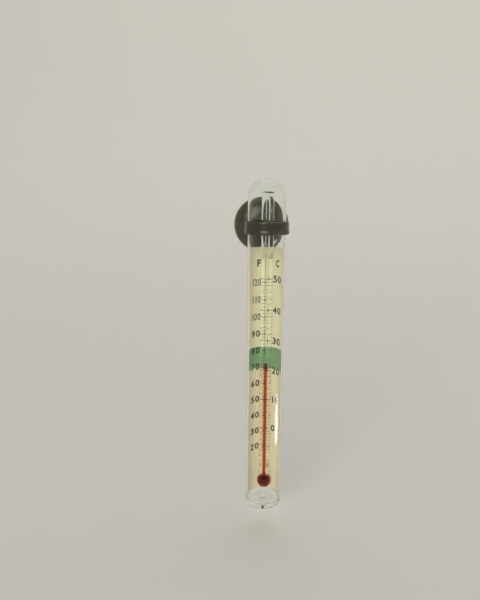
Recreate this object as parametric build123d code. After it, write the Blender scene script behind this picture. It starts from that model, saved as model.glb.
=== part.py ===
"""Glass aquarium thermometer: a sealed glass tube with a paper scale and a spirit capillary inside,
held in the ring of a soft suction-cup holder.

The origin is the centre of the suction cup's lip, on the plane that meets the aquarium wall.
+Z runs up the tube, +Y points out of the cup at the wall, and -Y is the side that is read.
"""
import os
from math import acos, degrees

from build123d import *

# --- Driving dimensions, millimetres and degrees -------------------------------------------------
TUBE_LENGTH = 110.0
TUBE_RADIUS = 6.0
TUBE_WALL = 0.35
TUBE_FLOOR = 2.2          # glass thickness of the flat bottom
TUBE_HEEL = 1.8           # outer rounding between wall and bottom
TUBE_INNER_HEEL = 0.5
SEAL_DIMPLE_RADIUS = 0.9  # pit left under the bottom where the tube was closed
SEAL_DIMPLE_DEPTH = 0.9
TUBE_ABOVE_RING = 15.3    # from the ring's middle to the top of the dome

CUP_RADIUS = 9.2
CUP_LIP_LAND = 0.7        # width of the flat lip that seals on the wall
CUP_LIP_THICKNESS = 0.5
CUP_DEPTH = 4.5           # from the lip plane to the back of the cup
CUP_HOLLOW_DEPTH = 2.6
BOSS_RADIUS = 3.0         # the stiff middle of the cup, which carries the neck
BOSS_GAP = 0.02           # between the flexing skirt and the boss

RING_CLEARANCE = 0.05     # radial, between the ring and the glass
RING_WALL = 1.05
RING_HEIGHT = 4.0
RING_EDGE = 0.4           # outer edge rounding
NECK_END_RADIUS = 1.8
TUBE_AXIS_Y = -14.0       # the tube's axis stands this far in front of the wall

SCALE_TURN = -14.0        # how far the scale is turned in the ring, about the tube's axis
CARD_CLEARANCE = 0.04
CARD_THICKNESS = 0.16
CARD_HALF_ANGLE = 87.0    # the card lines this much of the back wall, each side of the middle
CARD_BELOW_DOME = 21.9    # from the top of the dome to the card's top edge
CARD_ABOVE_FLOOR = 0.35   # clears the inner heel

STEM_RADIUS = 2.0
STEM_BACK = 2.7           # the stem's axis is this far behind the tube's axis
STEM_TOP_BELOW_DOME = 4.2
STEM_END_ROUNDING = 0.5
BULB_RADIUS = 2.45
BULB_ABOVE_BOTTOM = 6.7   # from the tube's outer bottom to the middle of the bulb
BULB_WALL = 0.25
BORE_RADIUS = 0.5
BORE_TOP_MARGIN = 2.5     # solid glass above the bore
BULB_NECK = 3.1           # from the middle of the bulb to where the bore begins

SPIRIT_CLEARANCE = 0.02
TIP_LENGTH = 2.0
SPIRIT_TOP_BELOW_DOME = 60.4
MENISCUS_RISE = 0.15

DAB_HEIGHT = 3.0
DAB_WIDTH = 1.6
DAB_DEPTHS_BELOW_DOME = (24.2, 97.2)

# --- Places that follow from them ----------------------------------------------------------------
tube_top = TUBE_ABOVE_RING
tube_bottom = tube_top - TUBE_LENGTH
bore_of_tube = TUBE_RADIUS - TUBE_WALL
inner_floor = tube_bottom + TUBE_FLOOR
card_outer = bore_of_tube - CARD_CLEARANCE
card_inner = card_outer - CARD_THICKNESS
card_top = tube_top - CARD_BELOW_DOME
card_bottom = inner_floor + CARD_ABOVE_FLOOR
stem_top = tube_top - STEM_TOP_BELOW_DOME
bulb_z = tube_bottom + BULB_ABOVE_BOTTOM
bore_start = bulb_z + BULB_NECK
bore_top = stem_top - BORE_TOP_MARGIN
spirit_top = tube_top - SPIRIT_TOP_BELOW_DOME
tip_bottom = spirit_top - TIP_LENGTH

in_ring = Pos(0, TUBE_AXIS_Y, 0)
on_scale = in_ring * Rot(0, 0, SCALE_TURN)
on_stem = on_scale * Pos(0, STEM_BACK, 0)


def turned_about_z(*edges):
    """The solid that an outline in the XZ plane sweeps about the Z axis."""
    return revolve(Plane.XZ * make_face(edges), Axis.Z)


def tube_shape(radius, bottom, dome_centre, heel):
    """A round-ended rod: flat bottom with a rounded heel, straight wall and domed top."""
    heel_middle = heel * (1 - 0.5**0.5)
    dome_middle = radius * 0.5**0.5
    return turned_about_z(
        Line((0, bottom), (radius - heel, bottom)),
        ThreePointArc(
            (radius - heel, bottom),
            (radius - heel_middle, bottom + heel_middle),
            (radius, bottom + heel),
        ),
        Line((radius, bottom + heel), (radius, dome_centre)),
        ThreePointArc(
            (radius, dome_centre),
            (dome_middle, dome_centre + dome_middle),
            (0, dome_centre + radius),
        ),
        Line((0, dome_centre + radius), (0, bottom)),
    )


def glass_tube():
    """The sealed outer tube, with the pit of its closing seal under the bottom."""
    dome_centre = tube_top - TUBE_RADIUS
    outside = tube_shape(TUBE_RADIUS, tube_bottom, dome_centre, TUBE_HEEL)
    inside = tube_shape(bore_of_tube, inner_floor, dome_centre, TUBE_INNER_HEEL)
    dimple = Pos(0, 0, tube_bottom + SEAL_DIMPLE_DEPTH / 2) * Cone(
        SEAL_DIMPLE_RADIUS, 0.15, SEAL_DIMPLE_DEPTH
    )
    return in_ring * (outside - inside - dimple)


def scale_card():
    """The curved paper card that lines the back of the tube."""
    start = 90 - CARD_HALF_ANGLE
    sweep = 2 * CARD_HALF_ANGLE
    outer = CenterArc((0, 0), card_outer, start, sweep)
    inner = CenterArc((0, 0), card_inner, start, sweep)
    strip = make_face(
        [outer, inner, Line(outer @ 0, inner @ 0), Line(outer @ 1, inner @ 1)]
    )
    return on_scale * Pos(0, 0, card_bottom) * extrude(strip, card_top - card_bottom)


def bulb_outline(radius, neck_radius, neck_z):
    """Edges of a bulb's outline from its lowest point to where it meets the neck."""
    meet_z = (radius**2 - neck_radius**2) ** 0.5 if neck_z is None else neck_z
    return ThreePointArc(
        (0, bulb_z - radius), (radius, bulb_z), (neck_radius, bulb_z + meet_z)
    )


def capillary_outside():
    """The stem with its bulb, solid."""
    bulb = bulb_outline(BULB_RADIUS, STEM_RADIUS, None)
    shoulder = stem_top - STEM_END_ROUNDING
    end_radius = STEM_RADIUS - STEM_END_ROUNDING
    rounded = STEM_END_ROUNDING * 0.5**0.5
    return turned_about_z(
        bulb,
        Line(bulb @ 1, (STEM_RADIUS, shoulder)),
        ThreePointArc(
            (STEM_RADIUS, shoulder),
            (end_radius + rounded, shoulder + rounded),
            (end_radius, stem_top),
        ),
        Line((end_radius, stem_top), (0, stem_top)),
        Line((0, stem_top), (0, bulb_z - BULB_RADIUS)),
    )


def bulb_cavity(shrink, top):
    """The hollow of the bulb, its tapering neck and the bore up to a height, less a clearance."""
    radius = BULB_RADIUS - BULB_WALL - shrink
    neck_meet = radius * 0.6
    bore = BORE_RADIUS - shrink
    ball = bulb_outline(radius, radius * 0.8, neck_meet)
    edges = [ball, Line(ball @ 1, (bore, bore_start))]
    if top > bore_start:
        edges.append(Line((bore, bore_start), (bore, top)))
    edges.append(Line((bore, top), (0, top)))
    edges.append(Line((0, top), (0, bulb_z - radius)))
    return turned_about_z(*edges)


def capillary_glass():
    """The thick glass stem and thin-walled bulb, one blown piece."""
    return on_stem * (capillary_outside() - bulb_cavity(0, bore_top))


def bulb_spirit():
    """The dyed spirit that fills the bulb and its neck."""
    return on_stem * bulb_cavity(SPIRIT_CLEARANCE, bore_start)


def spirit_column():
    """The thread of spirit in the bore, which grows and shrinks."""
    length = tip_bottom - bore_start
    thread = Cylinder(BORE_RADIUS - SPIRIT_CLEARANCE, length)
    return on_stem * Pos(0, 0, bore_start + length / 2) * thread


def spirit_tip():
    """The top of the thread with its rounded meniscus, which shows the reading."""
    radius = BORE_RADIUS - SPIRIT_CLEARANCE
    dome_radius = (radius**2 + MENISCUS_RISE**2) / (2 * MENISCUS_RISE)
    edge_angle = degrees(acos(radius / dome_radius))
    meniscus = CenterArc((0, spirit_top - dome_radius), dome_radius, edge_angle, 90 - edge_angle)
    tip = turned_about_z(
        Line((0, tip_bottom), (radius, tip_bottom)),
        Line((radius, tip_bottom), meniscus @ 0),
        meniscus,
        Line(meniscus @ 1, (0, tip_bottom)),
    )
    return on_stem * tip


def adhesive_dabs():
    """Two dabs of clear adhesive that hold the stem to the card."""
    dabs = []
    for depth in DAB_DEPTHS_BELOW_DOME:
        middle = (0, STEM_BACK + STEM_RADIUS, tube_top - depth)
        block = Pos(*middle) * Box(DAB_WIDTH, STEM_RADIUS, DAB_HEIGHT)
        card_face = Pos(0, 0, middle[2]) * Cylinder(card_inner, 2 * DAB_HEIGHT)
        stem = Pos(0, STEM_BACK, middle[2]) * Cylinder(STEM_RADIUS, 2 * DAB_HEIGHT)
        dabs.append(on_scale * ((block & card_face) - stem))
    return Compound(children=dabs)


def whole_cup():
    """The full cup, turned about the Y axis: flat lip, thin skirt and thick middle."""
    lip_back = (CUP_RADIUS, -CUP_LIP_THICKNESS)
    back_edge = (BOSS_RADIUS, -CUP_DEPTH)
    land_edge = (CUP_RADIUS - CUP_LIP_LAND, 0)
    outline = make_face(
        [
            Line((CUP_RADIUS, 0), lip_back),
            ThreePointArc(lip_back, (CUP_RADIUS * 0.73, -CUP_DEPTH * 0.68), back_edge),
            Line(back_edge, (0, -CUP_DEPTH)),
            Line((0, -CUP_DEPTH), (0, -CUP_HOLLOW_DEPTH)),
            ThreePointArc(
                (0, -CUP_HOLLOW_DEPTH), (CUP_RADIUS * 0.55, -CUP_HOLLOW_DEPTH * 0.72), land_edge
            ),
            Line(land_edge, (CUP_RADIUS, 0)),
        ]
    )
    return revolve(outline, Axis.Y)


def cup_core(radius):
    """A bar along Y that cuts through the middle of the cup."""
    return Rot(90, 0, 0) * Cylinder(radius, 4 * CUP_DEPTH)


def neck(end_y):
    """The tapering neck from the back of the cup to the ring."""
    length = -CUP_DEPTH - end_y
    taper = Cone(BOSS_RADIUS, NECK_END_RADIUS, length)
    return Pos(0, -CUP_DEPTH - length / 2, 0) * Rot(90, 0, 0) * taper


def cup_skirt():
    """The thin flexing skirt of the suction cup, down to its flat lip."""
    return whole_cup() - cup_core(BOSS_RADIUS + BOSS_GAP)


def ring_holder():
    """The cup's stiff boss, the neck, and the ring that grips the tube: one soft moulding."""
    boss = whole_cup() & cup_core(BOSS_RADIUS)
    bore = TUBE_RADIUS + RING_CLEARANCE
    band = Cylinder(bore + RING_WALL, RING_HEIGHT)
    band = fillet(band.edges().filter_by(GeomType.CIRCLE), RING_EDGE)
    hole = in_ring * Cylinder(bore, 2 * RING_HEIGHT)
    return boss + neck(TUBE_AXIS_Y + bore + RING_WALL / 2) + in_ring * band - hole


PARTS = (
    cup_skirt,
    ring_holder,
    glass_tube,
    scale_card,
    capillary_glass,
    bulb_spirit,
    spirit_column,
    spirit_tip,
    adhesive_dabs,
)

os.makedirs("parts", exist_ok=True)
for make in PARTS:
    export_step(make(), f"parts/{make.__name__}.step")
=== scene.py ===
"""Looks of the glass aquarium thermometer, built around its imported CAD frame.

Everything is in metres in the CAD frame: +Z up the tube, +Y towards the aquarium wall. The tube's
axis, the card, the stem and the spirit are placed from the frame's own boxes.
"""
import math

import bmesh
import bpy
import numpy as np
from mathutils import Matrix, Vector


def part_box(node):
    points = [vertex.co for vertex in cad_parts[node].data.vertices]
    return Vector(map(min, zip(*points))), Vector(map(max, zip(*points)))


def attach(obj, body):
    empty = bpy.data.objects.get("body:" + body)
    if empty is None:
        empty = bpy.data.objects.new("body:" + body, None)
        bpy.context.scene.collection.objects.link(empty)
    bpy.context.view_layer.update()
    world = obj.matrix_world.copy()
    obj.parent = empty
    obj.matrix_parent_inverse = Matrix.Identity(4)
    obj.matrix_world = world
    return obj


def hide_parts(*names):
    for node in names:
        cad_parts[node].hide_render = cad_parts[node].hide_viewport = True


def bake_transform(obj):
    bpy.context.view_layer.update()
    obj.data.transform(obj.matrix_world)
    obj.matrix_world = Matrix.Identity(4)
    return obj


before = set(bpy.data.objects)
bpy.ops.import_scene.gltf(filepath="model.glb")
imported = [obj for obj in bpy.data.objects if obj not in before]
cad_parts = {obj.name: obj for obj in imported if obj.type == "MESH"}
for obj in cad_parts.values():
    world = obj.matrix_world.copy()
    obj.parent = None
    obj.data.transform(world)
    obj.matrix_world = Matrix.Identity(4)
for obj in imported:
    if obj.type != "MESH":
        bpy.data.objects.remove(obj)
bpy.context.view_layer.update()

MM = 0.001

# --- Places read from the frame -------------------------------------------------------------------
tube_low, tube_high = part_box("glass_tube")
card_low, card_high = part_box("scale_card")
glass_low, glass_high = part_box("capillary_glass")
tip_low, tip_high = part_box("spirit_tip")
thread_low, thread_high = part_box("spirit_column")
cup_low, cup_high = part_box("cup_skirt")

TUBE_RADIUS = (tube_high.x - tube_low.x) / 2
AXIS = Vector(((tube_low.x + tube_high.x) / 2, (tube_low.y + tube_high.y) / 2, 0))
TOP, BOTTOM = tube_high.z, tube_low.z
STEM_AXIS = Vector(((glass_low.x + glass_high.x) / 2, (glass_low.y + glass_high.y) / 2, 0))
BULB_RADIUS = (glass_high.x - glass_low.x) / 2
BULB_Z = glass_low.z + BULB_RADIUS
BACK = (STEM_AXIS - AXIS).normalized()          # from the tube's axis to the middle of the card
RIGHT = Vector((BACK.y, -BACK.x, 0))            # along the card, to the reader's right
CUP_RADIUS = cup_high.x
CUP_DEPTH = -cup_low.y

# --- Sizes that the frame's boxes don't give ------------------------------------------------------
WALL = 0.35 * MM
FLOOR_GLASS = 2.2 * MM
HEEL = 1.8 * MM
INNER_HEEL = 0.5 * MM
DOME_EXTRA = 0.25 * MM                          # the dome is this much thicker than the wall
CARD_OUTER = TUBE_RADIUS - WALL - 0.04 * MM
CARD_THICKNESS = 0.16 * MM
CARD_INNER = CARD_OUTER - CARD_THICKNESS
CARD_HALF_ANGLE = math.radians(87)
STEM_RADIUS = 2.0 * MM
BORE_RADIUS = 0.5 * MM
BULB_WALL = 0.25 * MM
BULB_NECK = 3.4 * MM                            # from the bulb's middle to where the stem is full
WETTING = 0.01 * MM                             # the spirit wets the bore, with no air between
BORE_START = thread_low.z
BORE_TOP = glass_high.z - 2.5 * MM
RING_WALL = 1.05 * MM
RING_BORE = TUBE_RADIUS + 0.05 * MM
RING_HALF_HEIGHT = 2.0 * MM
RING_CORNER = 0.42 * MM
CUP_LIP = 0.5 * MM
CUP_HOLLOW = 2.6 * MM
NECK_RADIUS = 2.2 * MM
NECK_FLARE = 0.5 * MM

# The printed scale: depths below the top of the dome, as the card carries them.
DEGREE_F = 0.5804 * MM
DEPTH_120F = 33.54 * MM
LETTERS_DEPTH = 27.2 * MM
BAND_TOP_F, BAND_BOTTOM_F = 82.0, 69.2
NUMERAL_HEIGHT = 2.3 * MM
LONG_MARK, SHORT_MARK = 0.16 * MM, 0.075 * MM   # half the height of a mark's line

# Left and right ends across the card, in degrees of its curve to the right of the stem's middle.
F_TENS, F_UNITS = (-63, -46), (-41.5, -25.5)
F_HUNDREDS, F_MIDDLE, F_MIDDLE_ONE, F_LAST = (-58.5, -54.5), (-50, -38.7), (-45, -41), (-36, -25)
C_TENS, C_UNITS = (21, 36), (40, 58)
C_TEN_ONE, C_TEN_ZERO, C_ZERO = (24, 29), (36, 52), (21, 37)
LETTER_F, LETTER_C = (-39.5, -24.5), (29.5, 45.5)
F_LONG_END, F_SHORT_END = -23, -20
C_LONG_END, C_SHORT_END = 18, 12
F_MARK_START, C_MARK_START = -3.18, -3.02       # the two scales' marks all but meet
BOLD, THIN = 0.03, 0.012                        # how much thicker than the plain font


def height_of(fahrenheit):
    """The height on the card of a temperature in degrees Fahrenheit."""
    return TOP - DEPTH_120F - (120 - fahrenheit) * DEGREE_F


# --- Mesh helpers --------------------------------------------------------------------------------
def arc(centre_r, centre_z, radius, start, end, steps=12):
    """Points on an arc of an outline, from one angle to another in degrees from straight out."""
    angles = np.radians(np.linspace(start, end, steps))
    return [(centre_r + radius * math.cos(a), centre_z + radius * math.sin(a)) for a in angles]


def straight(start, end, steps):
    """Evenly spaced points of an outline from start up to, and without, end."""
    shares = np.linspace(0, 1, steps, endpoint=False)
    return [tuple(np.array(start) * (1 - s) + np.array(end) * s) for s in shares]


def turned(name, outlines, segments=96, loops=False):
    """A closed smooth mesh turned about Z from outlines of (radius, height) points.

    An outline runs upwards with its solid inside, or downwards round a hollow. With loops the
    outline closes on itself away from the axis, as a ring's does.
    """
    verts, faces = [], []
    turns = np.linspace(0, 2 * math.pi, segments, endpoint=False)
    for outline in outlines:
        rings = []
        for radius, height in outline:
            first = len(verts)
            if radius < 1e-9:
                verts.append((0, 0, height))
                rings.append([first] * segments)
            else:
                verts.extend((radius * math.cos(t), radius * math.sin(t), height) for t in turns)
                rings.append(list(range(first, first + segments)))
        if loops:
            rings.append(rings[0])
        for low, high in zip(rings, rings[1:]):
            for i in range(segments):
                j = (i + 1) % segments
                corners = [low[i], low[j], high[j], high[i]]
                faces.append(list(dict.fromkeys(corners)))
    mesh = bpy.data.meshes.new(name)
    mesh.from_pydata(verts, [], [f for f in faces if len(f) > 2])
    mesh.shade_smooth()
    return add_object(name, mesh)


def outward(mesh):
    """Makes a closed mesh's faces look outwards, and smooth."""
    whole = bmesh.new()
    whole.from_mesh(mesh)
    bmesh.ops.recalc_face_normals(whole, faces=whole.faces)
    whole.to_mesh(mesh)
    whole.free()
    mesh.shade_smooth()
    return mesh


def add_object(name, mesh):
    """Links a mesh to the scene as an object."""
    made = bpy.data.objects.new(name, mesh)
    bpy.context.scene.collection.objects.link(made)
    return made


def place(made, offset):
    """Moves a piece's mesh, so that its object stays at the origin as the CAD nodes do."""
    made.data.transform(Matrix.Translation(offset))
    return made


def edit_points(made, change):
    """Puts every point of a mesh through change, a function of an array of points."""
    points = np.array([v.co for v in made.data.vertices], float)
    made.data.vertices.foreach_set("co", change(points).astype(np.float32).ravel())
    made.data.update()
    return made


def joined(name, *pieces):
    """One object from several, whose own objects go."""
    both = bmesh.new()
    for piece in pieces:
        both.from_mesh(piece.data)
        bpy.data.objects.remove(piece)
    mesh = bpy.data.meshes.new(name)
    both.to_mesh(mesh)
    both.free()
    return add_object(name, mesh)


def bake_modifiers(made):
    """Applies a piece's modifiers to its mesh."""
    bpy.context.view_layer.update()
    seen = made.evaluated_get(bpy.context.evaluated_depsgraph_get())
    mesh = bpy.data.meshes.new_from_object(seen)
    made.modifiers.clear()
    made.data = mesh
    mesh.shade_smooth()


def finished(made, body, slot, material, *nodes):
    """Gives a piece its body, material and the CAD nodes it stands for; the slot argument is not used."""
    made.data.materials.clear()
    for each in material if isinstance(material, tuple) else (material,):
        made.data.materials.append(each)
    if nodes:
        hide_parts(*nodes)
    if body:
        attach(made, body)
    return made


# --- Material helpers ----------------------------------------------------------------------------
class Shader:
    """A material's node tree, with short ways to add and join nodes."""

    def __init__(self, name, **values):
        self.material = bpy.data.materials.new(name)
        self.material.use_nodes = True
        self.tree = self.material.node_tree
        self.main = self.tree.nodes["Principled BSDF"]
        self.out = self.tree.nodes["Material Output"]
        self.set(self.main, **values)

    def set(self, node, **values):
        """Sets sockets by name, with underscores for spaces."""
        for key, value in values.items():
            node.inputs[key.replace("_", " ")].default_value = value
        return node

    def add(self, kind, **values):
        """A new node of a kind, with its sockets set."""
        return self.set(self.tree.nodes.new("ShaderNode" + kind), **values)

    def join(self, source, target):
        """Links an output to an input."""
        self.tree.links.new(source, target)

    def place(self, scale=(1, 1, 1)):
        """Object coordinates, stretched."""
        coordinates = self.add("TexCoord")
        mapping = self.add("Mapping", Scale=scale)
        self.join(coordinates.outputs["Object"], mapping.inputs["Vector"])
        return mapping.outputs["Vector"]

    def noise(self, scale, detail=3.0, roughness=0.5, stretch=(1, 1, 1)):
        """A noise in object space whose scale is in features per metre."""
        node = self.add("TexNoise", Scale=scale, Detail=detail, Roughness=roughness)
        self.join(self.place(stretch), node.inputs["Vector"])
        return node.outputs["Fac"]

    def ramp(self, source, *stops):
        """Colours or greys at places along a factor."""
        node = self.add("ValToRGB")
        band = node.color_ramp
        while len(band.elements) < len(stops):
            band.elements.new(0.5)
        for element, (at, colour) in zip(band.elements, stops):
            element.position = at
            element.color = (*colour, 1) if isinstance(colour, tuple) else (colour,) * 3 + (1,)
        self.join(source, node.inputs["Fac"])
        return node.outputs["Color"]

    def bump(self, source, strength, distance):
        """A bump from a height. Distance is in metres."""
        node = self.add("Bump", Strength=strength, Distance=distance)
        self.join(source, node.inputs["Height"])
        return node.outputs["Normal"]

    def feed(self, source, socket):
        """Links an output to one of the main shader's sockets."""
        self.join(source, self.main.inputs[socket])

    def let_light_through(self, tint):
        """Lamps' rays pass the glass with a faint loss, so that what is inside is lit."""
        path = self.add("LightPath")
        clear = self.add("BsdfTransparent", Color=(*tint, 1))
        mix = self.add("MixShader")
        self.join(path.outputs["Is Shadow Ray"], mix.inputs["Fac"])
        self.join(self.main.outputs["BSDF"], mix.inputs[1])
        self.join(clear.outputs["BSDF"], mix.inputs[2])
        self.join(mix.outputs["Shader"], self.out.inputs["Surface"])

    def absorb(self, colour, density):
        """Colours the solid by the depth that light crosses in it."""
        node = self.add("VolumeAbsorption", Color=(*colour, 1), Density=density)
        self.join(node.outputs["Volume"], self.out.inputs["Volume"])


def glass_material(name, tint, roughness, waviness, ior):
    """Clear glass: almost perfectly smooth, with the faint streaks of drawn glass and handling haze.

    Its head-on reflections are held down, so that the pale studio doesn't veil what is inside.
    """
    glass = Shader(name, Base_Color=(*tint, 1), Transmission_Weight=1.0, IOR=ior)
    glass.set(glass.main, Specular_Tint=(0.3, 0.3, 0.3, 1))
    haze = glass.noise(180, detail=4)
    glass.feed(glass.ramp(haze, (0.45, roughness), (0.8, roughness * 3)), "Roughness")
    streaks = glass.noise(500, detail=2, stretch=(1, 1, 0.05))
    glass.feed(glass.bump(streaks, waviness, 0.02 * MM), "Normal")
    glass.let_light_through((0.9, 0.92, 0.9))
    return glass.material


def paper_material():
    """Uncoated cream card, with fibres and faint blotches."""
    paper = Shader("uncoated_card", Roughness=0.82, Specular_IOR_Level=0.25)
    blotch = paper.noise(260, detail=5, roughness=0.6)
    fibre = paper.noise(5200, detail=3, stretch=(1, 1, 0.22))
    mottled = paper.ramp(blotch, (0.3, (0.79, 0.727, 0.505)), (0.7, (0.84, 0.777, 0.56)))
    flecks = paper.ramp(fibre, (0.25, 0.9), (0.6, 1.0))
    mix = paper.add("Mix")
    mix.data_type = "RGBA"
    mix.blend_type = "MULTIPLY"
    mix.inputs["Factor"].default_value = 1.0
    paper.join(mottled, mix.inputs["A"])
    paper.join(flecks, mix.inputs["B"])
    paper.feed(mix.outputs["Result"], "Base Color")
    paper.feed(paper.bump(fibre, 0.35, 0.03 * MM), "Normal")
    return paper.material


def ink_material(name, dark, light, roughness):
    """Printing ink, thinner where the paper's grain shows through it."""
    ink = Shader(name, Roughness=roughness, Specular_IOR_Level=0.3)
    grain = ink.noise(3600, detail=4, roughness=0.65)
    ink.feed(ink.ramp(grain, (0.35, dark), (0.72, light)), "Base Color")
    ink.feed(ink.bump(grain, 0.2, 0.02 * MM), "Normal")
    return ink.material


def spirit_material():
    """Red-dyed spirit: clear, redder with depth, and with little bending where it wets the glass."""
    spirit = Shader("dyed_spirit", Base_Color=(1, 1, 1, 1), Transmission_Weight=1.0, IOR=1.1)
    swirl = spirit.noise(900, detail=2, stretch=(1, 1, 0.3))
    spirit.feed(spirit.ramp(swirl, (0.4, 0.0), (0.8, 0.02)), "Roughness")
    spirit.let_light_through((1, 1, 1))
    spirit.absorb((0.92, 0.46, 0.02), 4500)
    return spirit.material


def pvc_material():
    """Smoky soft PVC: translucent, darker with depth, glossy from the mould with fine scuffs."""
    pvc = Shader("smoky_pvc", Base_Color=(0.5, 0.49, 0.36, 1), Transmission_Weight=0.94, IOR=1.45)
    scuff = pvc.noise(900, detail=6, roughness=0.65)
    pvc.feed(pvc.ramp(scuff, (0.35, 0.19), (0.75, 0.29)), "Roughness")
    orange_peel = pvc.noise(1500, detail=2)
    pvc.feed(pvc.bump(orange_peel, 0.04, 0.05 * MM), "Normal")
    pvc.absorb((0.42, 0.41, 0.25), 2000)
    return pvc.material


def adhesive_material():
    """Clear adhesive, dried cloudy over the card, cream like it. Its cream is painted lighter than the
    card's own, to make up for the shade that it sits in behind the stem.
    """
    glue = Shader("dried_adhesive", IOR=1.48)
    haze = glue.noise(1800, detail=3)
    # Painted light: these creams are lighter than the card, to offset the shade between the stem and the
    # card.
    glue.feed(glue.ramp(haze, (0.3, (0.88, 0.84, 0.6)), (0.7, (0.93, 0.89, 0.66))), "Base Color")
    glue.feed(glue.ramp(haze, (0.3, 0.3), (0.7, 0.5)), "Roughness")
    return glue.material


# --- The glass tube ------------------------------------------------------------------------------
def rounded_tube(radius, floor, dome, heel, foot):
    """Outline of a round-ended tube surface: the given foot, heel, straight wall and dome."""
    dome_z = TOP - TUBE_RADIUS
    crown = [(radius * math.cos(a), dome_z + dome * math.sin(a)) for a in np.linspace(0, math.pi / 2, 24)]
    crown[-1] = (0, dome_z + dome)
    return (
        foot
        + arc(radius - heel, floor + heel, heel, -90, -6, 12)
        + straight((radius, floor + heel), (radius, dome_z), 110)
        + crown
    )


def outer_glass():
    """The sealed tube, as drawn and flame-worked: a thicker dome, a pit and a nib at the seal."""
    pit = [(0, BOTTOM + 0.9 * MM), (0.2 * MM, BOTTOM + 0.72 * MM), (0.45 * MM, BOTTOM + 0.4 * MM),
           (0.7 * MM, BOTTOM + 0.12 * MM), (0.95 * MM, BOTTOM)]
    foot = pit + straight((1.2 * MM, BOTTOM), (TUBE_RADIUS - HEEL, BOTTOM), 8)
    outside = rounded_tube(TUBE_RADIUS, BOTTOM, TUBE_RADIUS, HEEL, foot)
    inner = TUBE_RADIUS - WALL
    floor = BOTTOM + FLOOR_GLASS
    nib = [(0, floor + 0.5 * MM), (0.25 * MM, floor + 0.34 * MM), (0.6 * MM, floor + 0.08 * MM)]
    inner_foot = nib + straight((1.0 * MM, floor), (inner - INNER_HEEL, floor), 8)
    inside = rounded_tube(inner, floor, inner - DOME_EXTRA, INNER_HEEL, inner_foot)
    tube = turned("glass_envelope", [outside, inside[::-1]], segments=144)

    def drawn(points):
        """Thins the wall by a micron or two in slow waves, as drawn glass has."""
        turn = np.arctan2(points[:, 1], points[:, 0])
        wave = 1 + np.sin(points[:, 2] * 410 + 2 * turn) * np.sin(points[:, 2] * 160 + 1.3)
        radius = np.hypot(points[:, 0], points[:, 1])
        in_wall = np.clip((radius - 4 * MM) / MM, 0, 1)
        factor = 1 - 0.001 * MM * wave / np.maximum(radius, 1e-6) * in_wall
        return points * np.stack([factor, factor, np.ones_like(factor)], axis=1)

    return place(edit_points(tube, drawn), AXIS)


# --- The scale card and its printing --------------------------------------------------------------
def on_card(along, height, lift):
    """The point at a distance along the card's curve, at a height, lifted towards the reader."""
    angle = along / CARD_INNER
    out = (CARD_INNER - lift)[..., None]
    flat = np.cos(angle)[..., None] * np.array(BACK) + np.sin(angle)[..., None] * np.array(RIGHT)
    point = np.array(AXIS) + out * flat
    point[..., 2] = height
    return point


def curved_card():
    """The card, a rolled strip with slightly uneven cut edges."""
    across, up = 61, 140
    shares = np.linspace(-1, 1, across)
    heights = np.linspace(card_low.z, card_high.z, up)
    grid_s, grid_h = np.meshgrid(shares, heights)
    edge = 1 - 0.004 * (1 + np.sin(grid_h * 900)) * np.abs(grid_s) ** 6
    along = grid_s * CARD_HALF_ANGLE * CARD_INNER * edge
    cut = 0.06 * MM * np.sin(grid_s * 5 + 0.7) * np.where(grid_h > heights[-3], 1, 0)
    front = on_card(along, grid_h - np.abs(cut), np.zeros_like(along))
    back = on_card(along, grid_h - np.abs(cut), np.full_like(along, -CARD_THICKNESS))
    verts = np.concatenate([front.reshape(-1, 3), back.reshape(-1, 3)])
    count = across * up
    faces = []
    for row in range(up - 1):
        for col in range(across - 1):
            a = row * across + col
            faces.append((a, a + 1, a + across + 1, a + across))
            faces.append((a + count, a + across + count, a + across + 1 + count, a + 1 + count))
    rim = list(range(across))
    rim += [r * across + across - 1 for r in range(1, up)]
    rim += [(up - 1) * across + c for c in range(across - 2, -1, -1)]
    rim += [r * across for r in range(up - 2, 0, -1)]
    for a, b in zip(rim, rim[1:] + rim[:1]):
        faces.append((a, a + count, b + count, b))
    mesh = bpy.data.meshes.new("scale_card_paper")
    mesh.from_pydata([tuple(v) for v in verts], [], faces)
    for polygon in mesh.polygons:
        polygon.use_smooth = polygon.area > 0.1 * MM * MM
    return add_object("scale_card_paper", mesh)


def rectangle(drawing, left, right, low, high):
    """Adds a flat rectangle to a drawing in the card's flat plane."""
    corners = ((left, low), (right, low), (right, high), (left, high))
    drawing.faces.new([drawing.verts.new((x, z, 0)) for x, z in corners])


def characters(drawing, words, left, right, low, high, boldness):
    """Adds generic characters to a drawing, fitted to a rectangle."""
    curve = bpy.data.curves.new("characters", "FONT")
    curve.body = words
    curve.resolution_u = 6
    curve.offset = boldness
    text = bpy.data.objects.new("characters", curve)
    bpy.context.scene.collection.objects.link(text)
    bpy.context.view_layer.update()
    mesh = bpy.data.meshes.new_from_object(text)
    points = np.array([v.co for v in mesh.vertices], float)
    low_corner, high_corner = points.min(0), points.max(0)
    size = high_corner[:2] - low_corner[:2]
    points[:, 0] = left + (points[:, 0] - low_corner[0]) / size[0] * (right - left)
    points[:, 1] = low + (points[:, 1] - low_corner[1]) / size[1] * (high - low)
    points[:, 2] = 0
    mesh.vertices.foreach_set("co", points.astype(np.float32).ravel())
    drawing.from_mesh(mesh)
    bpy.data.objects.remove(text)
    bpy.data.curves.remove(curve)
    bpy.data.meshes.remove(mesh)


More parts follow.
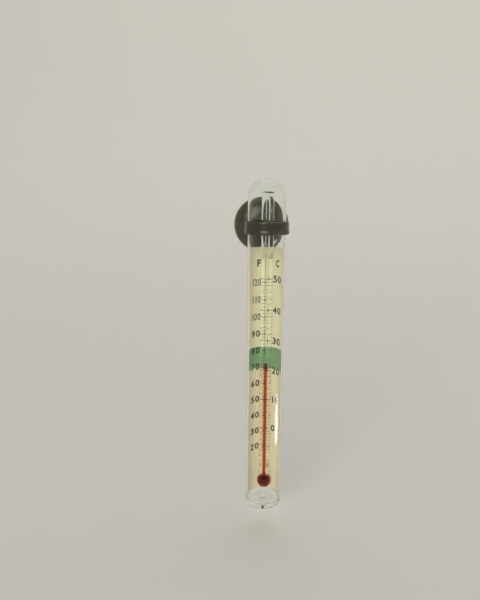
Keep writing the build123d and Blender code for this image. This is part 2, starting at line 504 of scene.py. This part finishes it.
def rolled_print(name, drawing, lift, thickness):
    """Turns a flat drawing into a thin closed layer of ink that follows the card."""
    bmesh.ops.remove_doubles(drawing, verts=drawing.verts, dist=1e-7)
    limit = CARD_INNER * CARD_HALF_ANGLE
    step = 0.25 * MM
    for at in np.arange(-limit, limit, step):
        whole = drawing.verts[:] + drawing.edges[:] + drawing.faces[:]
        bmesh.ops.bisect_plane(drawing, geom=whole, plane_co=(at, 0, 0), plane_no=(1, 0, 0))
    grown = bmesh.ops.extrude_face_region(drawing, geom=drawing.faces[:])
    for item in grown["geom"]:
        if isinstance(item, bmesh.types.BMVert):
            item.co.z += thickness
    bmesh.ops.recalc_face_normals(drawing, faces=drawing.faces)
    mesh = bpy.data.meshes.new(name)
    drawing.to_mesh(mesh)
    drawing.free()
    made = add_object(name, mesh)
    return edit_points(made, lambda p: on_card(p[:, 0], p[:, 1], p[:, 2] + lift))


def green_band():
    """The band of acceptable temperatures, right across the card."""
    drawing = bmesh.new()
    half = CARD_INNER * (CARD_HALF_ANGLE - math.radians(1.5))
    rectangle(drawing, -half, half, height_of(BAND_BOTTOM_F), height_of(BAND_TOP_F))
    return rolled_print("acceptable_band_print", drawing, 0.004 * MM, 0.006 * MM)


def scale_print():
    """Both scales: numerals, long and short marks, and the letters F and C."""
    drawing = bmesh.new()
    degree = CARD_INNER * math.pi / 180

    def write(words, ends, height, boldness=BOLD):
        left, right = ends[0] * degree, ends[1] * degree
        low, high = height - NUMERAL_HEIGHT / 2, height + NUMERAL_HEIGHT / 2
        characters(drawing, words, left, right, low, high, boldness)

    def mark(left, right, height, half):
        rectangle(drawing, left * degree, right * degree, height - half, height + half)

    for fahrenheit in range(14, 125, 2):
        height = height_of(fahrenheit)
        words = str(fahrenheit)
        if fahrenheit % 10 == 0 and 20 <= fahrenheit <= 120:
            if len(words) == 3:
                write(words[0], F_HUNDREDS, height)
                write(words[1], F_MIDDLE_ONE if words[1] == "1" else F_MIDDLE, height, THIN)
                write(words[2], F_LAST, height, THIN)
            else:
                write(words[0], F_TENS, height)
                write(words[1], F_UNITS, height)
            mark(F_LONG_END, F_MARK_START, height, LONG_MARK)
        elif 16 <= fahrenheit <= 122:
            mark(F_SHORT_END, F_MARK_START, height, SHORT_MARK)
    for celsius in range(-10, 52, 2):
        height = height_of(celsius * 1.8 + 32)
        words = str(celsius)
        if celsius % 10 or celsius < 0:
            mark(C_MARK_START, C_SHORT_END, height, SHORT_MARK)
            continue
        if celsius == 0:
            write(words, C_ZERO, height)
        elif celsius == 10:
            write(words[0], C_TEN_ONE, height)
            write(words[1], C_TEN_ZERO, height)
        else:
            write(words[0], C_TENS, height)
            write(words[1], C_UNITS, height)
        mark(C_MARK_START, C_LONG_END, height, LONG_MARK)
    write("F", LETTER_F, TOP - LETTERS_DEPTH)
    write("C", LETTER_C, TOP - LETTERS_DEPTH)
    return rolled_print("scale_print", drawing, 0.012 * MM, 0.01 * MM)


# --- The capillary and its spirit -----------------------------------------------------------------
def bulb_cavity(grow, top):
    """Outline of the bulb's hollow, its neck and the bore up to a height."""
    radius = BULB_RADIUS - BULB_WALL + grow
    bore = BORE_RADIUS + grow
    ball = arc(0, BULB_Z, radius, -90, 48, 28)
    ball[0] = (0, BULB_Z - radius)
    start_r, start_z = ball[-1]
    neck = []
    for share in np.linspace(0, 1, 14)[1:]:
        eased = 1 - (1 - share) ** 2.2
        neck.append((start_r + (bore - start_r) * eased, start_z + (BORE_START - start_z) * share))
    return ball + neck + straight((bore, BORE_START), (bore, top), 60)[1:] + [(bore, top)]


def stem_glass():
    """The thick-walled stem and its blown bulb. The hollow's faces get the second material."""
    ball = arc(0, BULB_Z, BULB_RADIUS, -90, 50, 30)
    ball[0] = (0, BULB_Z - BULB_RADIUS)
    start_r, start_z = ball[-1]
    neck_end = BULB_Z + BULB_NECK
    waist = 0.22 * MM
    neck = []
    for share in np.linspace(0, 1, 16)[1:]:
        radius = start_r + (STEM_RADIUS - start_r) * share - waist * math.sin(math.pi * share)
        neck.append((radius, start_z + (neck_end - start_z) * share))
    top = glass_high.z
    rounding = 0.7 * MM
    shoulder = arc(STEM_RADIUS - rounding, top - rounding, rounding, 0, 90, 10)
    outside = ball + neck + straight((STEM_RADIUS, neck_end), (STEM_RADIUS, top - rounding), 80)[1:]
    outside += shoulder + [(0, top)]
    inside = bulb_cavity(0, BORE_TOP)
    inside += arc(0, BORE_TOP, BORE_RADIUS, 0, 90, 8)[1:-1] + [(0, BORE_TOP + BORE_RADIUS)]
    segments = 96
    stem = turned("capillary_stem", [outside, inside[::-1]], segments)
    first_inside = (len(outside) - 1) * segments
    for polygon in stem.data.polygons[first_inside:]:
        polygon.material_index = 1
    return place(stem, STEM_AXIS)


def spirit_in_bulb():
    """The fill of the bulb and its neck."""
    outline = bulb_cavity(WETTING, BORE_START + 0.1 * MM) + [(0, BORE_START + 0.1 * MM)]
    return place(turned("bulb_spirit_fill", [outline], segments=64), STEM_AXIS)


def spirit_thread():
    """The thread of spirit from inside the bulb to just under its top end."""
    radius = BORE_RADIUS + WETTING
    low, high = BULB_Z + 0.4 * MM, tip_low.z + 0.2 * MM
    outline = [(0, low)] + straight((radius, low), (radius, high), 90) + [(radius, high), (0, high)]
    return place(turned("spirit_thread", [outline], segments=32), STEM_AXIS)


def spirit_top():
    """The top end of the thread, with its rounded meniscus."""
    radius = BORE_RADIUS + WETTING
    rise = 0.22 * MM
    low, high = tip_low.z, tip_high.z
    angles = np.linspace(0, math.pi / 2, 12)
    meniscus = [(radius * math.cos(a), high - rise + rise * math.sin(a)) for a in angles]
    meniscus[-1] = (0, high)
    outline = [(0, low)] + straight((radius, low), (radius, high - rise), 8) + meniscus
    return place(turned("spirit_thread_top", [outline], segments=32), STEM_AXIS)


def glue_dabs():
    """Two squeezed dabs between the stem and the card."""
    low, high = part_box("adhesive_dabs")
    verts, faces = [], []
    rows, columns = 9, 16
    half_width, half_height = 0.5 * MM, 1.5 * MM
    stem_back = (STEM_AXIS - AXIS).length + STEM_RADIUS
    near, far = stem_back - 0.1 * MM, CARD_INNER
    for middle in (high.z - half_height, low.z + half_height):
        first = len(verts)
        for row in range(rows + 1):
            depth = row / rows
            swell = 0.72 + 0.28 * abs(2 * depth - 1) ** 1.5
            for column in range(columns):
                turn = 2 * math.pi * column / columns
                x = half_width * swell * math.cos(turn)
                z = middle + half_height * swell * math.sin(turn)
                reach = near + (far - near) * depth
                curve = math.sqrt(max(reach**2 - x**2, 0))
                point = AXIS + BACK * (curve if depth > 0.5 else reach) + RIGHT * x
                verts.append((point.x, point.y, z))
        for row in range(rows):
            for column in range(columns):
                a = first + row * columns + column
                b = first + row * columns + (column + 1) % columns
                faces.append((a, b, b + columns, a + columns))
        faces.append([first + c for c in range(columns - 1, -1, -1)])
        faces.append([first + rows * columns + c for c in range(columns)])
    mesh = bpy.data.meshes.new("stem_adhesive")
    mesh.from_pydata(verts, [], faces)
    return add_object("stem_adhesive", outward(mesh))


# --- The suction-cup holder -----------------------------------------------------------------------
def cup_and_neck():
    """The cup and the neck behind it, turned with the lip down and then laid back along Y."""
    under = [(0, CUP_HOLLOW)]
    for share in np.linspace(0, 1, 20)[1:]:
        under.append(((CUP_RADIUS - 0.75 * MM) * share, CUP_HOLLOW * (1 - share**2.1)))
    rim = arc(CUP_RADIUS - CUP_LIP / 2, CUP_LIP / 2, CUP_LIP / 2, -90, 70, 8)
    back = []
    for share in np.linspace(0.04, 1, 22):
        angle = share * math.pi / 2
        narrowing = (CUP_RADIUS - NECK_RADIUS - NECK_FLARE) * (1 - math.cos(angle)) ** 0.9
        back.append((CUP_RADIUS - narrowing, CUP_LIP + (CUP_DEPTH - CUP_LIP) * math.sin(angle)))
    ring_back = -(AXIS.y + RING_BORE + RING_WALL * 0.4)
    neck = []
    for share in np.linspace(0.08, 1, 12):
        flare = NECK_FLARE * abs(2 * share - 1) ** 2
        neck.append((NECK_RADIUS + flare, CUP_DEPTH + (ring_back - CUP_DEPTH) * share))
    outline = under + rim + back + neck + [(0, ring_back)]
    cup = turned("cup_and_neck", [outline], segments=128)
    cup.data.transform(Matrix.Rotation(math.radians(90), 4, "X"))
    return cup


def ring():
    """The ring round the tube, a little narrower above the middle than below."""
    outer, half = RING_BORE + RING_WALL, RING_HALF_HEIGHT
    edge, taper = 0.15 * MM, 0.16 * MM
    loop = straight((RING_BORE, half - edge), (RING_BORE, -half + edge), 12)
    loop += [(RING_BORE, -half + edge), (RING_BORE + 0.1 * MM, -half)]
    loop += arc(outer - RING_CORNER, -half + RING_CORNER, RING_CORNER, -90, 0, 7)
    loop += [(outer - 0.06 * MM, -half + 1.0 * MM), (outer - taper, -half + 1.3 * MM)]
    loop += arc(outer - taper - RING_CORNER, half - RING_CORNER, RING_CORNER, 0, 90, 7)
    loop += [(RING_BORE + 0.1 * MM, half)]
    return place(turned("ring", [loop], segments=160, loops=True), AXIS)


def clear_of_glass(points):
    """Keeps the moulding's points off the glass, and its lip on the wall's plane."""
    across = points[:, :2] - np.array(AXIS)[:2]
    radius = np.hypot(across[:, 0], across[:, 1])
    too_near = (radius < RING_BORE) & (radius > 1 * MM)
    need = np.where(too_near, RING_BORE / np.maximum(radius, 1e-9), 1)
    points[:, :2] = np.array(AXIS)[:2] + across * need[:, None]
    points[:, 1] = np.minimum(points[:, 1], 0)
    return points


def moulded_holder():
    """The cup, neck and ring as one soft moulding, whose joins flow into each other."""
    holder = joined("suction_holder", cup_and_neck(), ring())
    remesh = holder.modifiers.new("union", "REMESH")
    remesh.mode = "VOXEL"
    remesh.voxel_size = 0.15 * MM
    remesh.use_smooth_shade = True
    smooth = holder.modifiers.new("flow", "SMOOTH")
    smooth.factor = 0.5
    smooth.iterations = 6
    bake_modifiers(holder)
    return edit_points(holder, clear_of_glass)


# --- Stage, lights and camera ----------------------------------------------------------------------
def stage_floor():
    """A pale floor that curves up gently on every side, and lets the lights outside it in."""
    level = BOTTOM - 9 * MM
    flat, curve = 0.3, 3.0
    outline = [(0, level)] + arc(flat, level + curve, curve, -90, -3, 60) + [(flat + curve, level + 5.0)]
    floor = turned("pale_floor", [outline])
    surface = Shader("pale_floor", Base_Color=(0.8, 0.79, 0.76, 1), Roughness=0.75)
    floor.data.materials.append(surface.material)
    floor.visible_shadow = False


def area_light(name, where, towards, size, power, colour=(1, 1, 1)):
    """A soft rectangular light that looks at a point."""
    data = bpy.data.lights.new(name, "AREA")
    data.shape = "RECTANGLE"
    data.size, data.size_y = size
    data.energy, data.color = power, colour
    light = bpy.data.objects.new(name, data)
    bpy.context.scene.collection.objects.link(light)
    light.location = where
    light.rotation_euler = (Vector(towards) - Vector(where)).to_track_quat("-Z", "Y").to_euler()
    light.visible_camera = False
    return light


def sun_light(name, where, strength, spread, colour):
    """A soft light from far away, from the side of a given direction, that spreads over degrees."""
    data = bpy.data.lights.new(name, "SUN")
    data.energy, data.angle, data.color = strength, math.radians(spread), colour
    light = bpy.data.objects.new(name, data)
    bpy.context.scene.collection.objects.link(light)
    light.rotation_euler = (-Vector(where)).to_track_quat("-Z", "Y").to_euler()
    return light


def studio():
    """A soft key from the front, a broad top light, a low panel for the streak, a pale world."""
    middle = Vector((0, AXIS.y, (TOP + BOTTOM) / 2))
    sun_light("key", (-0.4, -1.0, 0.5), 1.42, 38, (1, 0.965, 0.91))
    area_light("top", (0.1, 0.35, 1.4), middle, (1.4, 1.2), 4, (1, 0.985, 0.96))
    side = math.radians(78)                     # round from the front, to the reader's right
    away = Vector((math.sin(side), -math.cos(side), 0))
    low = AXIS + away * 88.5 * MM + Vector((0, 0, BOTTOM - 4 * MM))
    panel = area_light("low_panel", low, low + Vector((0, 0, 1)), (0.06, 0.03), 0.065)
    panel.data.shape = "ELLIPSE"
    panel.rotation_euler = (math.pi, 0, side - math.pi / 2)
    world = bpy.data.worlds.new("pale_world")
    world.use_nodes = True
    background = world.node_tree.nodes["Background"]
    background.inputs["Color"].default_value = (1.0, 0.98, 0.95, 1)
    background.inputs["Strength"].default_value = 0.25
    bpy.context.scene.world = world
    bpy.context.scene.view_settings.view_transform = "Standard"


def camera():
    """The camera at the photograph's angle: close, a little above, and left of the tube."""
    pitch, turn = math.radians(12.0), math.radians(5.0)
    distance, aside = 176.5 * MM, 8.25 * MM
    aim = Vector((AXIS.x, AXIS.y, TOP - 38.5 * MM))
    ahead = Vector((math.sin(turn) * math.cos(pitch), math.cos(turn) * math.cos(pitch), -math.sin(pitch)))
    right = Vector((math.cos(turn), -math.sin(turn), 0))
    data = bpy.data.cameras.new("camera")
    data.lens = 33.0
    data.clip_start = 0.005
    view = bpy.data.objects.new("camera", data)
    bpy.context.scene.collection.objects.link(view)
    view.location = aim - ahead * distance - right * aside
    level = ahead.to_track_quat("-Z", "Y").to_matrix()
    roll = Matrix.Rotation(math.radians(0.33), 3, "Z")
    view.rotation_euler = (level @ roll).to_euler()
    bpy.context.scene.camera = view


# --- Building -------------------------------------------------------------------------------------
tube_glass = glass_material("tube_glass", (0.97, 0.99, 0.975), 0.004, 0.02, 1.4)
stem_clear = glass_material("stem_glass", (0.98, 0.985, 0.97), 0.003, 0.03, 1.45)
# The hollow's wall bends light far less than glass in air does, because the spirit wets it.
bore_wall = glass_material("bore_wall", (1, 1, 1), 0.003, 0.0, 1.15)
black_ink = ink_material("scale_ink", (0.03, 0.03, 0.028), (0.07, 0.068, 0.06), 0.6)
green_ink = ink_material("band_ink", (0.19, 0.33, 0.17), (0.26, 0.41, 0.22), 0.7)
spirit_red = spirit_material()

finished(outer_glass(), "tube", "tube_glass", tube_glass, "glass_tube")
finished(curved_card(), "scale", "scale_paper", paper_material(), "scale_card")
finished(green_band(), "scale", "band_ink", green_ink)
finished(scale_print(), "scale", "scale_ink", black_ink)
finished(stem_glass(), "scale", "stem_glass", (stem_clear, bore_wall), "capillary_glass")
finished(spirit_in_bulb(), "scale", "spirit_red", spirit_red, "bulb_spirit")
finished(spirit_top(), "spirit_level", "spirit_red", spirit_red, "spirit_tip")
finished(glue_dabs(), "scale", "clear_adhesive", adhesive_material(), "adhesive_dabs")

thread = finished(spirit_thread(), None, "spirit_red", spirit_red, "spirit_column")
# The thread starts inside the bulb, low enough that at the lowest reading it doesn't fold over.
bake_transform(thread)

holder = finished(moulded_holder(), None, "soft_pvc", pvc_material(), "cup_skirt", "ring_holder")
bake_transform(holder)

stage_floor()
studio()
camera()
